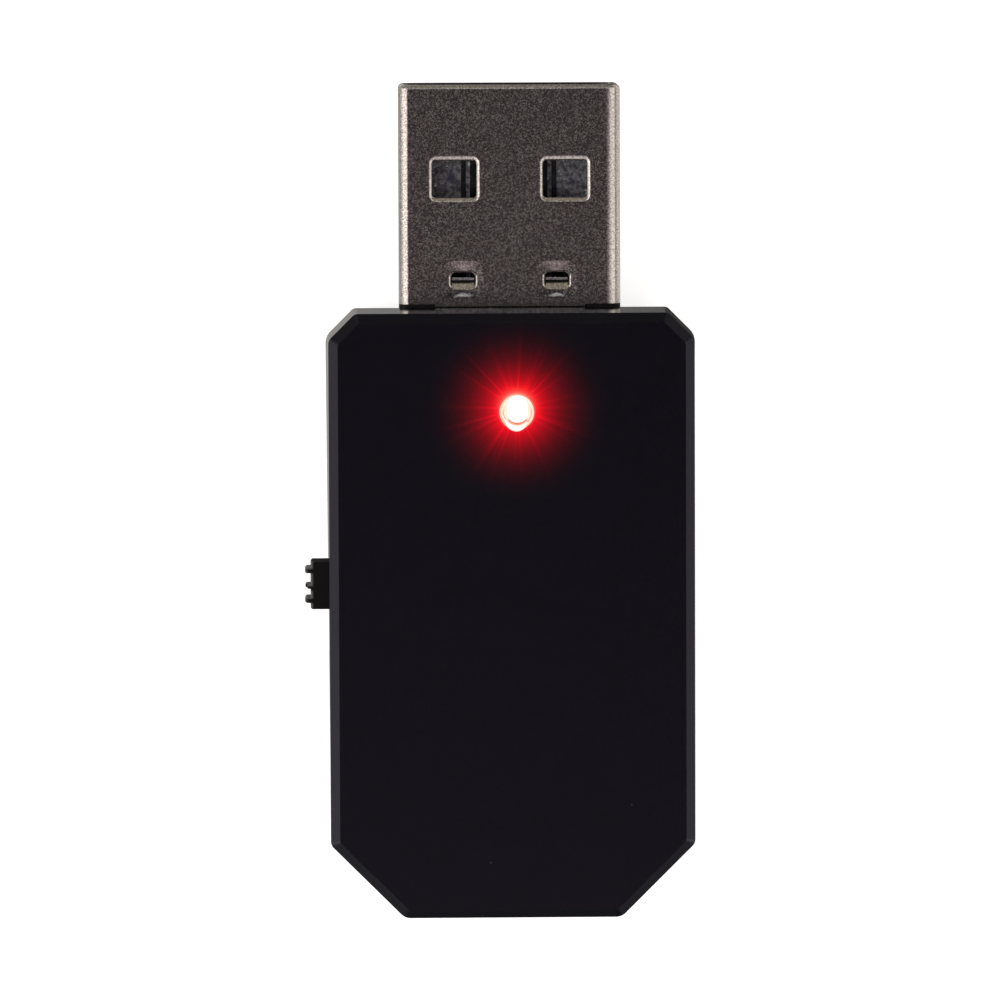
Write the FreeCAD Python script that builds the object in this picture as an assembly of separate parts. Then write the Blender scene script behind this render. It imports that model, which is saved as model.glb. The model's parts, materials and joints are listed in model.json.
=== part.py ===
import FreeCAD, Part

import math
import os

# USB wireless adapter, in millimetres.
# Origin: centre of the case's flat underside. +X to the right, +Y towards the plug, +Z up.
# The slide switch is on the -X side and the indicator light shows through the top.

# ---- Case ----
CASE_WIDTH = 19.74
CASE_LENGTH = 32.79
CASE_HEIGHT = 9.6
FRONT_CHAMFER = 1.43
REAR_CHAMFER = 4.0
FRONT_CORNER_RADIUS = 0.4
SIDE_CORNER_RADIUS = 0.5
REAR_CORNER_RADIUS = 0.75
SEAM_SIDE_CORNER_RADIUS = 0.95
TOP_BEVEL = 0.5
BOTTOM_BEVEL = 0.6
SEAM_Z = 6.2
SEAM_FLARE_FRONT = 0.15
SEAM_FLARE_REAR = -0.02
BOTTOM_DRAFT = 0.3
WALL = 1.2
LIP_HEIGHT = 0.8
LIP_WIDTH = 0.55
LIP_CLEARANCE = 0.06

# ---- Plug ----
PLUG_WIDTH = 12.0
PLUG_HEIGHT = 4.5
PLUG_LENGTH = 12.05
PLUG_AXIS_Z = 3.9
SHEET = 0.3
PLUG_EDGE_RADIUS = 0.5
PLUG_SOFT_EDGE_RADIUS = 0.75
PLUG_LIP_ROUND = 0.24
LIP_PICK_DEPTH = 0.95 * SHEET
NECK_STEP = 0.2
NECK_LAP = 0.3
NECK_INSIDE_CASE = 3.5
REAR_GAP = 0.06
REAR_RELIEF = 0.12
REAR_RELIEF_FROM_X = 4.05
LATCH_HOLE_X = 3.0
LATCH_HOLE_FROM_TIP = 5.11
LATCH_HOLE_SIZE = (2.37, 2.0)
LATCH_HOLE_RADIUS = 0.16
LATCH_RIM = (0.21, 0.28)
RIM_BEND_RADIUS = 0.35
RIM_STEPS = 6
RIM_SLOPE = 50.0
LOCK_WINDOW_X = 2.54
LOCK_WINDOW_FROM_TIP = 10.58
LOCK_WINDOW_SIZE = (1.3, 0.85)
LOCK_WINDOW_RIM = (0.2, 0.2)
LOCK_WINDOW_RADIUS = 0.26
LOCK_DISH_REACHES = (1.1, 1.05, 1.0)
LOCK_DISH_RADIUS = 0.6
LOCK_DISH_RADIUS_LOSS = 0.25
LOCK_DISH_BAND = 0.42
LOCK_DISH_SLOPES = (3.5, 9.0)
LOCK_DISH_STEPS = 8
LOCK_TAB_WIDTH = 1.2
LOCK_TAB_THICKNESS = 0.2
LOCK_TAB_BEND_RADIUS = 0.7
LOCK_TAB_SLOPE = 62.0
LOCK_TAB_ROOT = 0.3
LOCK_TAB_END = 0.14
LOCK_TAB_END_SLOPE = 7.0
LOCK_TAB_SINK = 0.04
PLUG_SEAM_WIDTH = 0.06
PLUG_SEAM_DEPTH = 0.1
PLUG_FOOT_LENGTH = 1.2
PLUG_FOOT_TOP = 1.1
PLUG_FOOT_BELOW_BOARD = 0.7

# ---- Circuit board ----
BOARD_THICKNESS = 1.0
BOARD_TOP_Z = 3.9
BOARD_EDGE_GAP = 0.27
BOARD_FRONT_Y = 12.6
TONGUE_WIDTH = 10.8
SPACER_WIDTH = 10.5
TONGUE_SETBACK = 0.3
TONGUE_BEVEL = 0.3
SLOT_CLEARANCE = 0.08
PAD_PITCH_OUTER = 3.5
PAD_PITCH_INNER = 1.0
PAD_WIDTH_OUTER = 1.8
PAD_WIDTH_INNER = 1.3
PAD_LENGTH = 8.4
PAD_SHORTER_INNER = 1.0
PAD_SETBACK = 0.8
COPPER = 0.05
TRACE_X = 2.22
TRACE_WIDTH = 0.22

# ---- Case fittings ----
POST_RADIUS = 0.8
POST_PIN_RADIUS = 0.5
POST_PIN_HOLE_RADIUS = 0.6
POST_PIN_HEIGHT = 0.9
FRONT_POST = (7.4, 11.5)
REAR_POST = (6.6, -11.2)
HOOK_LENGTH = 3.0
HOOK_THICKNESS = 0.8
HOOK_WALL_GAP = 0.12
HOOK_BOTTOM_Z = 4.6
HOOK_NUB_HEIGHT = 0.9
HOOK_NUB_REACH = 0.4
HOOK_POCKET_GAP = 0.12
HOOK_Y = (8.0, -7.6)

# ---- Indicator light ----
LIGHT_X = 0.26
LIGHT_FROM_FRONT = 5.32
LIGHT_PIPE_RADIUS = 0.9
LIGHT_HOLE_GAP = 0.03
LIGHT_HOLE_CHAMFER = 0.08
LIGHT_DOME_HEIGHT = 0.22
LIGHT_FLANGE_RADIUS = 1.4
LIGHT_FLANGE_HEIGHT = 0.5
LIGHT_PIPE_BOTTOM_Z = 4.9
LED_SIZE = (1.6, 0.8, 0.75)

# ---- Slide switch ----
SWITCH_TRAVEL = 2.0
KNOB_FROM_FRONT = 14.89
KNOB_LENGTH = 2.6
KNOB_HEIGHT = 2.0
KNOB_REACH = 10.9
KNOB_CORNER_RADIUS = 0.15
# Each ridge: place along the knob, width, reach and height. The middle one is worn back at its top.
RIDGES = (
    (0.80, 0.28, 0.30, KNOB_HEIGHT),
    (-0.09, 0.20, 0.18, KNOB_HEIGHT),
    (-0.09, 0.20, 0.28, 1.1),
    (-0.82, 0.28, 0.30, KNOB_HEIGHT),
)
SWITCH_LENGTH = 8.6
SWITCH_DEPTH = 3.4
SWITCH_HEIGHT = 3.4
SWITCH_FACE_X = -8.45
SWITCH_SHEET = 0.25
SWITCH_BASE_HEIGHT = 0.5
SLIDER_GAP = 0.05
SLIDER_BOTTOM_Z = 4.75
WALL_SLOT_GAP = 0.25
FRAME_SLOT_GAP = 0.15
TERMINAL_PITCH = 2.0
TERMINAL_SIZE = (0.4, 0.3)
TERMINAL_HEAD = (1.5, 1.0, 0.1)
TERMINAL_X = -6.2
PIN_BELOW_BOARD = 0.6
FRAME_FOOT_WIDTH = 0.8
WIPER_SIZE = (1.0, 3.4, 0.15)
WIPER_DIMPLE_RADIUS = 0.3
WIPER_DIMPLE_HEIGHT = 0.05

# ---- Board components: centre x, centre y, then size x, y, z ----
CHIP = (2.1, 0.5, 6.0, 6.0, 0.85)
SHIELD_CAN = (2.1, 0.5, 11.0, 10.0, 1.8)
SHIELD_SHEET = 0.2
SHIELD_VENT_RADIUS = 0.4
SHIELD_VENT_GRID = 3
SHIELD_VENT_PITCH = 2.2
CRYSTAL = (-4.9, 8.9, 3.2, 2.5, 0.8)
MEMORY = (4.2, 8.6, 4.9, 3.9, 1.4)
REGULATOR = (-5.2, -6.4, 2.9, 1.6, 1.1)
INDUCTOR = (-1.6, -7.6, 2.5, 2.0, 1.2)
POWER_CAPACITOR = (-4.9, -9.4, 3.2, 1.6, 1.6)
ANTENNA = (0.6, -13.3, 7.0, 2.0, 1.0)
LEAD_SIZE = (0.4, 0.9, 0.2)
MEMORY_LEADS_PER_SIDE = 4
MEMORY_LEAD_PITCH = 1.27
REGULATOR_LEADS_PER_SIDE = 3
REGULATOR_LEAD_PITCH = 0.95
SMALL_PART_SIZE = (1.0, 0.5, 0.5)
SMALL_PART_COLUMNS = 4
SMALL_PART_PITCH = 1.5
CAPACITOR_ROWS = (2.2, (-6.3, -7.5))
RESISTOR_ROWS = (2.2, (-8.9, -10.1))

# ---- Derived places ----
FRONT_Y = CASE_LENGTH / 2
NOSE_Y = FRONT_Y + SEAM_FLARE_FRONT
TIP_Y = NOSE_Y + PLUG_LENGTH
PLUG_TOP_Z = PLUG_AXIS_Z + PLUG_HEIGHT / 2
PLUG_BOTTOM_Z = PLUG_AXIS_Z - PLUG_HEIGHT / 2
SHELL_REAR_Y = FRONT_Y - NECK_INSIDE_CASE
SHELL_FULL_REAR_Y = NOSE_Y + REAR_GAP
BOARD_BOTTOM_Z = BOARD_TOP_Z - BOARD_THICKNESS
CASE_FLOOR_Z = WALL
CASE_CEILING_Z = CASE_HEIGHT - WALL
INNER_HALF_WIDTH = CASE_WIDTH / 2 - WALL
KNOB_Y = FRONT_Y - KNOB_FROM_FRONT
SWITCH_Y = KNOB_Y - SWITCH_TRAVEL / 2
KNOB_Z = BOARD_TOP_Z + SWITCH_HEIGHT / 2
LIGHT_Y = FRONT_Y - LIGHT_FROM_FRONT
CHAMFER_GROWTH = 2 - math.sqrt(2)


def box(x_range, y_range, z_range):
    """A block between two corners."""
    size = [high - low for low, high in (x_range, y_range, z_range)]
    corner = FreeCAD.Vector(x_range[0], y_range[0], z_range[0])
    return Part.makeBox(size[0], size[1], size[2], corner)


def block_on_board(place):
    """A block standing on the board's top face, from (x, y, size x, size y, size z)."""
    x, y, width, length, height = place
    return box(
        (x - width / 2, x + width / 2),
        (y - length / 2, y + length / 2),
        (BOARD_TOP_Z, BOARD_TOP_Z + height),
    )


def post(x, y, radius, z_low, z_high):
    """An upright round post."""
    return Part.makeCylinder(radius, z_high - z_low, FreeCAD.Vector(x, y, z_low))


def group(solids):
    """Several separate solids kept in one node."""
    return Part.makeCompound(solids)


def rounded_wire(points, radii):
    """A closed wire through the points, with each corner rounded to its own radius."""
    edges = []
    tangent_points = []
    count = len(points)
    for index, (corner, radius) in enumerate(zip(points, radii)):
        before = (points[index - 1] - corner).normalize()
        after = (points[(index + 1) % count] - corner).normalize()
        half_angle = before.getAngle(after) / 2
        reach = radius / math.tan(half_angle)
        middle = (before + after).normalize() * (radius / math.sin(half_angle) - radius)
        tangent_points.append((corner + before * reach, corner + middle, corner + after * reach))
    for index, (start, middle, end) in enumerate(tangent_points):
        edges.append(Part.Arc(start, middle, end).toShape())
        next_start = tangent_points[(index + 1) % count][0]
        edges.append(Part.LineSegment(end, next_start).toShape())
    return Part.Wire(edges)


def case_outline(z, grow_front, grow_rear, front_side_radius=SIDE_CORNER_RADIUS):
    """The case's eight-sided outline at height z, moved outwards by the two amounts."""
    front_x = CASE_WIDTH / 2 + grow_front
    rear_x = CASE_WIDTH / 2 + grow_rear
    front_y = CASE_LENGTH / 2 + grow_front
    rear_y = -CASE_LENGTH / 2 - grow_rear
    front_leg = FRONT_CHAMFER + CHAMFER_GROWTH * grow_front
    rear_leg = REAR_CHAMFER + CHAMFER_GROWTH * grow_rear
    half = [
        (front_x - front_leg, front_y),
        (front_x, front_y - front_leg),
        (rear_x, rear_y + rear_leg),
        (rear_x - rear_leg, rear_y),
    ]
    mirrored = [(-x, y) for x, y in reversed(half)]
    points = [FreeCAD.Vector(x, y, z) for x, y in half + mirrored]
    half_radii = [FRONT_CORNER_RADIUS, front_side_radius, SIDE_CORNER_RADIUS, REAR_CORNER_RADIUS]
    smallest = min(grow_front, grow_rear)
    grown = [radius + max(smallest, -radius / 2) for radius in half_radii]
    return rounded_wire(points, grown + grown[::-1])


def seam_outline():
    """The case's outline where the two halves meet, its widest level."""
    return case_outline(SEAM_Z, SEAM_FLARE_FRONT, SEAM_FLARE_REAR, SEAM_SIDE_CORNER_RADIUS)


def case_prism(z_low, z_high, grow):
    """An upright prism on the case's outline, moved outwards by grow all round."""
    height = FreeCAD.Vector(0, 0, z_high - z_low)
    return Part.Face(case_outline(z_low, grow, grow)).extrude(height)


def rounded_block(centre, size, radii):
    """A block whose four edges along Y are rounded; radii run from lower left round to upper left."""
    half_x = size[0] / 2
    half_z = size[2] / 2
    y_low = centre[1] - size[1] / 2
    corners = [(-half_x, -half_z), (half_x, -half_z), (half_x, half_z), (-half_x, half_z)]
    points = [FreeCAD.Vector(centre[0] + x, y_low, centre[2] + z) for x, z in corners]
    return Part.Face(rounded_wire(points, radii)).extrude(FreeCAD.Vector(0, size[1], 0))


def rounded_rectangle(centre, size, radius):
    """A level rectangle with four rounded corners."""
    half_x = size[0] / 2
    half_y = size[1] / 2
    corners = [(-half_x, -half_y), (half_x, -half_y), (half_x, half_y), (-half_x, half_y)]
    points = [centre + FreeCAD.Vector(x, y, 0) for x, y in corners]
    return rounded_wire(points, [radius] * len(points))


def rounded_slab(centre_x, centre_y, size, radius, z_low, z_high):
    """An upright slab with four rounded corners."""
    outline = rounded_rectangle(FreeCAD.Vector(centre_x, centre_y, z_low), size, radius)
    return Part.Face(outline).extrude(FreeCAD.Vector(0, 0, z_high - z_low))


def all_posts():
    """The x, y places of the four board posts, front pair first."""
    places = []
    for x, y in (FRONT_POST, REAR_POST):
        places.append((-x, y))
        places.append((x, y))
    return places


def hook_sides():
    """Every hook's side sign and its y place."""
    return [(side, y) for side in (-1, 1) for y in HOOK_Y]


def knob_wall_slot():
    """The slot that lets the knob through the case's left wall."""
    half_length = KNOB_LENGTH / 2 + SWITCH_TRAVEL / 2 + WALL_SLOT_GAP
    half_height = KNOB_HEIGHT / 2 + WALL_SLOT_GAP
    return box(
        (-CASE_WIDTH, -INNER_HALF_WIDTH + WALL),
        (SWITCH_Y - half_length, SWITCH_Y + half_length),
        (KNOB_Z - half_height, KNOB_Z + half_height),
    )


def side_snap(side, y):
    """A springy hook hanging from the lid, with a wedge at its foot that faces the wall."""
    outer_x = INNER_HALF_WIDTH - HOOK_WALL_GAP
    arm = box(
        (outer_x - HOOK_THICKNESS, outer_x),
        (y - HOOK_LENGTH / 2, y + HOOK_LENGTH / 2),
        (HOOK_BOTTOM_Z, CASE_CEILING_Z + WALL / 2),
    )
    wedge_top = HOOK_BOTTOM_Z + HOOK_NUB_HEIGHT
    profile = [
        FreeCAD.Vector(outer_x, y - HOOK_LENGTH / 2, HOOK_BOTTOM_Z),
        FreeCAD.Vector(outer_x + HOOK_NUB_REACH, y - HOOK_LENGTH / 2, wedge_top),
        FreeCAD.Vector(outer_x, y - HOOK_LENGTH / 2, wedge_top),
    ]
    wedge = Part.Face(Part.makePolygon(profile + profile[:1])).extrude(FreeCAD.Vector(0, HOOK_LENGTH, 0))
    hook = arm.fuse(wedge)
    if side < 0:
        hook = hook.mirror(FreeCAD.Vector(0, 0, 0), FreeCAD.Vector(1, 0, 0))
    return hook


def hook_pocket(side, y):
    """The recess in the tray's wall that a hook's wedge snaps into."""
    inner_x = INNER_HALF_WIDTH - HOOK_WALL_GAP
    reach = HOOK_NUB_REACH + HOOK_POCKET_GAP
    x_range = sorted((side * inner_x, side * (inner_x + reach)))
    half_length = HOOK_LENGTH / 2 + HOOK_POCKET_GAP
    return box(
        tuple(x_range),
        (y - half_length, y + half_length),
        (HOOK_BOTTOM_Z - HOOK_POCKET_GAP, HOOK_BOTTOM_Z + HOOK_NUB_HEIGHT + HOOK_POCKET_GAP),
    )


def top_cover():
    """The lid: bevelled shell with the light's hole, snap hooks and ribs that hold the board down."""
    shoulder_z = CASE_HEIGHT - TOP_BEVEL
    outer = Part.makeLoft(
        [
            seam_outline(),
            case_outline(shoulder_z, 0, 0),
            case_outline(CASE_HEIGHT, -TOP_BEVEL, -TOP_BEVEL),
        ],
        True,
        True,
    )
    cover = outer.cut(case_prism(SEAM_Z - WALL, CASE_CEILING_Z, -WALL))
    rebate_top = SEAM_Z + LIP_HEIGHT + LIP_CLEARANCE
    rebate_inset = WALL - LIP_WIDTH - LIP_CLEARANCE
    cover = cover.cut(case_prism(SEAM_Z - WALL, rebate_top, -rebate_inset))
    for x, y in all_posts():
        cover = cover.fuse(post(x, y, POST_RADIUS, BOARD_TOP_Z, CASE_CEILING_Z + WALL / 2))
        pin_room = BOARD_TOP_Z + POST_PIN_HEIGHT
        cover = cover.cut(post(x, y, POST_PIN_HOLE_RADIUS, BOARD_TOP_Z, pin_room))
    for side, y in hook_sides():
        cover = cover.fuse(side_snap(side, y))
    cover = cover.cut(knob_wall_slot())
    hole_radius = LIGHT_PIPE_RADIUS + LIGHT_HOLE_GAP
    cover = cover.cut(post(LIGHT_X, LIGHT_Y, hole_radius, CASE_CEILING_Z, CASE_HEIGHT))
    countersink = Part.makeCone(
        hole_radius,
        hole_radius + LIGHT_HOLE_CHAMFER,
        LIGHT_HOLE_CHAMFER,
        FreeCAD.Vector(LIGHT_X, LIGHT_Y, CASE_HEIGHT - LIGHT_HOLE_CHAMFER),
    )
    return cover.cut(countersink).removeSplitter()


def bottom_cover():
    """The tray: floor and walls, a raised lip round the seam, board posts and a mouth for the plug."""
    outer = Part.makeLoft(
        [
            case_outline(0, -BOTTOM_DRAFT - BOTTOM_BEVEL, -BOTTOM_DRAFT - BOTTOM_BEVEL),
            case_outline(BOTTOM_BEVEL, -BOTTOM_DRAFT, -BOTTOM_DRAFT),
            seam_outline(),
        ],
        True,
        True,
    )
    lip = case_prism(SEAM_Z - WALL, SEAM_Z + LIP_HEIGHT, LIP_WIDTH - WALL)
    tray = outer.fuse(lip)
    tray = tray.cut(case_prism(CASE_FLOOR_Z, CASE_HEIGHT, -WALL))
    for x, y in all_posts():
        tray = tray.fuse(post(x, y, POST_RADIUS, CASE_FLOOR_Z - WALL / 2, BOARD_BOTTOM_Z))
        pin_top = BOARD_TOP_Z + POST_PIN_HEIGHT - LIP_CLEARANCE
        tray = tray.fuse(post(x, y, POST_PIN_RADIUS, BOARD_BOTTOM_Z, pin_top))
    for side, y in hook_sides():
        tray = tray.cut(hook_pocket(side, y))
    slot = knob_wall_slot()
    slot_above = slot.copy()
    slot_above.translate(FreeCAD.Vector(0, 0, KNOB_HEIGHT / 2))
    tray = tray.cut(slot).cut(slot_above)
    mouth_half_width = PLUG_WIDTH / 2 + SLOT_CLEARANCE
    mouth = box(
        (-mouth_half_width, mouth_half_width),
        (FRONT_Y - 2 * WALL, FRONT_Y + WALL),
        (PLUG_BOTTOM_Z + NECK_STEP - SLOT_CLEARANCE, CASE_HEIGHT),
    )
    return tray.cut(mouth).removeSplitter()


def rimmed_hole_cutter(centre_x, centre_y, size, radius, rim, side):
    """A hole in the plug's flat face whose outer rim is bent inwards; side is +1 on the top."""
    surface_z = PLUG_AXIS_Z + side * PLUG_HEIGHT / 2
    z_range = sorted((surface_z + side * SHEET, surface_z - side * 2 * SHEET))
    through = rounded_slab(centre_x, centre_y, size, radius, z_range[0], z_range[1])
    full_slope = math.radians(RIM_SLOPE)
    wires = []
    for step in range(RIM_STEPS + 1):
        slope = full_slope * step / RIM_STEPS
        share = 1 - math.sin(slope) / math.sin(full_slope)
        depth = RIM_BEND_RADIUS * (1 - math.cos(slope))
        centre = FreeCAD.Vector(centre_x, centre_y, surface_z - side * depth)
        grown = (size[0] + 2 * rim[0] * share, size[1] + 2 * rim[1] * share)
        wires.append(rounded_rectangle(centre, grown, radius + max(rim) * share))
    return through.fuse(Part.makeLoft(wires, True, True))


def lock_dish(x):
    """The shallow hollow pressed round a top window, steepest on the case's side."""
    gentle, steep = (math.tan(math.radians(slope)) for slope in LOCK_DISH_SLOPES)
    aside, towards_tip, towards_case = LOCK_DISH_REACHES
    window_y = TIP_Y - LOCK_WINDOW_FROM_TIP
    height = 0
    wires = []
    for step in range(LOCK_DISH_STEPS + 1):
        y = window_y + (towards_tip - towards_case) / 2
        size = (2 * aside, towards_tip + towards_case)
        radius = LOCK_DISH_RADIUS - LOCK_DISH_RADIUS_LOSS * step / LOCK_DISH_STEPS
        wires.append(rounded_rectangle(FreeCAD.Vector(x, y, PLUG_TOP_Z + height), size, radius))
        swell = math.sin(math.pi * (step + 0.5) / LOCK_DISH_STEPS)
        drop = LOCK_DISH_BAND / LOCK_DISH_STEPS * steep * swell
        height -= drop
        aside -= drop / gentle
        towards_tip -= drop / gentle
        towards_case -= LOCK_DISH_BAND / LOCK_DISH_STEPS
    above = wires[0].copy()
    above.translate(FreeCAD.Vector(0, 0, SHEET))
    return Part.makeLoft([above] + wires, True, True)


def lock_tab(x):
    """A tab lanced out of a top window, hinged at the case's side and curled down into the plug."""
    hinge_y = TIP_Y - LOCK_WINDOW_FROM_TIP - LOCK_WINDOW_SIZE[1] / 2 - LOCK_WINDOW_RIM[1]
    top_z = PLUG_TOP_Z - LOCK_TAB_SINK
    slope = math.radians(LOCK_TAB_SLOPE)

    def curl_point(radius, angle):
        y = hinge_y + radius * math.sin(angle)
        z = top_z - LOCK_TAB_BEND_RADIUS + radius * math.cos(angle)
        return FreeCAD.Vector(x - LOCK_TAB_WIDTH / 2, y, z)

    outer = [curl_point(LOCK_TAB_BEND_RADIUS, slope * share) for share in (0, 0.5, 1)]
    inner_radius = LOCK_TAB_BEND_RADIUS - LOCK_TAB_THICKNESS
    inner = [curl_point(inner_radius, slope * share) for share in (1, 0.5, 0)]
    root = FreeCAD.Vector(0, -LOCK_TAB_ROOT, 0)
    end_drop = LOCK_TAB_END * math.tan(math.radians(LOCK_TAB_END_SLOPE))
    end_top = outer[2] + FreeCAD.Vector(0, LOCK_TAB_END, -end_drop)
    end_bottom = end_top - FreeCAD.Vector(0, 0, LOCK_TAB_THICKNESS)
    edges = [
        Part.LineSegment(outer[0] + root, outer[0]),
        Part.Arc(*outer),
        Part.LineSegment(outer[2], end_top),
        Part.LineSegment(end_top, end_bottom),
        Part.LineSegment(end_bottom, inner[0]),
        Part.Arc(*inner),
        Part.LineSegment(inner[2], inner[2] + root),
        Part.LineSegment(inner[2] + root, outer[0] + root),
    ]
    profile = Part.Wire([edge.toShape() for edge in edges])
    return Part.Face(profile).extrude(FreeCAD.Vector(LOCK_TAB_WIDTH, 0, 0))


def tube(width, height, y_low, y_high, radii):
    """A length of folded sheet along Y; radii run from lower left round to upper left."""
    centre = (0, (y_low + y_high) / 2, PLUG_AXIS_Z)
    length = y_high - y_low
    outer = rounded_block(centre, (width, length, height), radii)
    inner_size = (width - 2 * SHEET, length, height - 2 * SHEET)
    inner = rounded_block(centre, inner_size, [radius - SHEET / 2 for radius in radii])
    return outer.cut(inner)


def shell_foot(side):
    """A foot of the shell that goes down through the board and is soldered there."""
    outer_x = PLUG_WIDTH / 2
    x_range = sorted((side * outer_x, side * (outer_x - SHEET)))
    return box(
        tuple(x_range),
        (SHELL_REAR_Y - PLUG_FOOT_LENGTH, SHELL_REAR_Y),
        (BOARD_BOTTOM_Z - PLUG_FOOT_BELOW_BOARD, BOARD_TOP_Z + PLUG_FOOT_TOP),
    )


def on_outer_lip(edge):
    """Whether an edge of the plug's sheet lies on the outside of its mouth."""
    centre = edge.CenterOfMass
    at_tip = centre.y > TIP_Y - SHEET / 2
    far_out = PLUG_WIDTH / 2 - abs(centre.x) < LIP_PICK_DEPTH
    far_up = PLUG_HEIGHT / 2 - abs(centre.z - PLUG_AXIS_Z) < LIP_PICK_DEPTH
    return at_tip and (far_out or far_up)


def pressed_openings(shell):
    """The shell with its latch holes, and with its lock windows, their dishes and their tabs."""
    latch_y = TIP_Y - LATCH_HOLE_FROM_TIP
    lock_y = TIP_Y - LOCK_WINDOW_FROM_TIP
    for x in (-LATCH_HOLE_X, LATCH_HOLE_X):
        for side in (-1, 1):
            hole = rimmed_hole_cutter(x, latch_y, LATCH_HOLE_SIZE, LATCH_HOLE_RADIUS, LATCH_RIM, side)
            shell = shell.cut(hole)
    for x in (-LOCK_WINDOW_X, LOCK_WINDOW_X):
        shell = shell.cut(lock_dish(x))
        for side in (-1, 1):
            window_rim = (LOCK_WINDOW_RADIUS, LOCK_WINDOW_RIM)
            shell = shell.cut(rimmed_hole_cutter(x, lock_y, LOCK_WINDOW_SIZE, *window_rim, side))
        shell = shell.fuse(lock_tab(x))
    return shell


def plug_shell():
    """The plug's folded sheet shell, with a lower neck where it enters the case."""
    edge_radii = [PLUG_EDGE_RADIUS, PLUG_EDGE_RADIUS, PLUG_SOFT_EDGE_RADIUS, PLUG_EDGE_RADIUS]
    shell = tube(PLUG_WIDTH, PLUG_HEIGHT, SHELL_FULL_REAR_Y, TIP_Y, edge_radii)
    lip_edges = [edge for edge in shell.Edges if on_outer_lip(edge)]
    shell = pressed_openings(shell.makeFillet(PLUG_LIP_ROUND, lip_edges))
    for side in (-1, 1):
        x_range = sorted((side * REAR_RELIEF_FROM_X, side * PLUG_WIDTH))
        relief = box(
            tuple(x_range),
            (SHELL_FULL_REAR_Y - REAR_RELIEF, SHELL_FULL_REAR_Y + REAR_RELIEF),
            (PLUG_BOTTOM_Z - SHEET, PLUG_TOP_Z + SHEET),
        )
        shell = shell.cut(relief)
    neck = tube(
        PLUG_WIDTH,
        PLUG_HEIGHT - 2 * NECK_STEP,
        SHELL_REAR_Y,
        SHELL_FULL_REAR_Y + REAR_RELIEF + NECK_LAP,
        [PLUG_EDGE_RADIUS - NECK_STEP / 2] * len(edge_radii),
    )
    shell = shell.fuse(neck)
    for side in (-1, 1):
        shell = shell.fuse(shell_foot(side))
    seam = box(
        (-PLUG_SEAM_WIDTH / 2, PLUG_SEAM_WIDTH / 2),
        (SHELL_FULL_REAR_Y, TIP_Y),
        (PLUG_BOTTOM_Z - SHEET, PLUG_BOTTOM_Z + PLUG_SEAM_DEPTH),
    )
    return shell.cut(seam).removeSplitter()


def plug_spacer():
    """The moulded block that fills the plug under the board's tongue."""
    half_width = SPACER_WIDTH / 2
    step_y = SHELL_FULL_REAR_Y + REAR_RELIEF + NECK_LAP
    tip_y = TIP_Y - TONGUE_SETBACK
    front = box((-half_width, half_width), (step_y, tip_y), (PLUG_BOTTOM_Z + SHEET, BOARD_BOTTOM_Z))
    neck_floor_z = PLUG_BOTTOM_Z + NECK_STEP + SHEET
    rear = box((-half_width, half_width), (SHELL_REAR_Y, step_y), (neck_floor_z, BOARD_BOTTOM_Z))
    return front.fuse(rear).removeSplitter()


def board_cutouts():
    """Every slot and hole in the board for feet, pins and posts."""
    cutters = []
    for side in (-1, 1):
        foot = shell_foot(side).BoundBox
        cutters.append(clearance_box(foot, SLOT_CLEARANCE))
    for pin in switch_pins() + frame_feet():
        cutters.append(clearance_box(pin.BoundBox, SLOT_CLEARANCE))
    for x, y in all_posts():
        cutters.append(post(x, y, POST_PIN_HOLE_RADIUS, BOARD_BOTTOM_Z, BOARD_TOP_Z))
    return cutters


def clearance_box(bounds, gap):
    """A block through the board's thickness, larger than the given bounds by the gap."""
    return box(
        (bounds.XMin - gap, bounds.XMax + gap),
        (bounds.YMin - gap, bounds.YMax + gap),
        (BOARD_BOTTOM_Z, BOARD_TOP_Z),
    )


def circuit_board():
    """The green board, whose front narrows to the tongue inside the plug."""
    main = case_prism(BOARD_BOTTOM_Z, BOARD_TOP_Z, -WALL - BOARD_EDGE_GAP)
    front = box(
        (-CASE_WIDTH / 2, CASE_WIDTH / 2),
        (BOARD_FRONT_Y, FRONT_Y),
        (BOARD_BOTTOM_Z, BOARD_TOP_Z),
    )
    tip_y = TIP_Y - TONGUE_SETBACK
    half_width = TONGUE_WIDTH / 2
    rear_y = BOARD_FRONT_Y - WALL
    outline = [
        FreeCAD.Vector(-half_width, rear_y, BOARD_BOTTOM_Z),
        FreeCAD.Vector(half_width, rear_y, BOARD_BOTTOM_Z),
        FreeCAD.Vector(half_width, tip_y - TONGUE_BEVEL, BOARD_BOTTOM_Z),
        FreeCAD.Vector(half_width - TONGUE_BEVEL, tip_y, BOARD_BOTTOM_Z),
        FreeCAD.Vector(TONGUE_BEVEL - half_width, tip_y, BOARD_BOTTOM_Z),
        FreeCAD.Vector(-half_width, tip_y - TONGUE_BEVEL, BOARD_BOTTOM_Z),
    ]
    face = Part.Face(Part.makePolygon(outline + outline[:1]))
    tongue = face.extrude(FreeCAD.Vector(0, 0, BOARD_THICKNESS))
    board = main.cut(front).fuse(tongue).removeSplitter()
    for cutter in board_cutouts():
        board = board.cut(cutter)
    return board


def contact_pads():
    """Four plated contact fingers on the tongue."""
    pads = []
    front_y = TIP_Y - TONGUE_SETBACK - PAD_SETBACK
    outer = (PAD_PITCH_OUTER, PAD_WIDTH_OUTER, 0)
    inner = (PAD_PITCH_INNER, PAD_WIDTH_INNER, PAD_SHORTER_INNER)
    for place, width, shorter in (outer, inner):
        for x in (-place, place):
            pads.append(
                box(
                    (x - width / 2, x + width / 2),
                    (front_y - PAD_LENGTH, front_y - shorter),
                    (BOARD_TOP_Z, BOARD_TOP_Z + COPPER),
                )
            )
    return group(pads)


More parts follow.
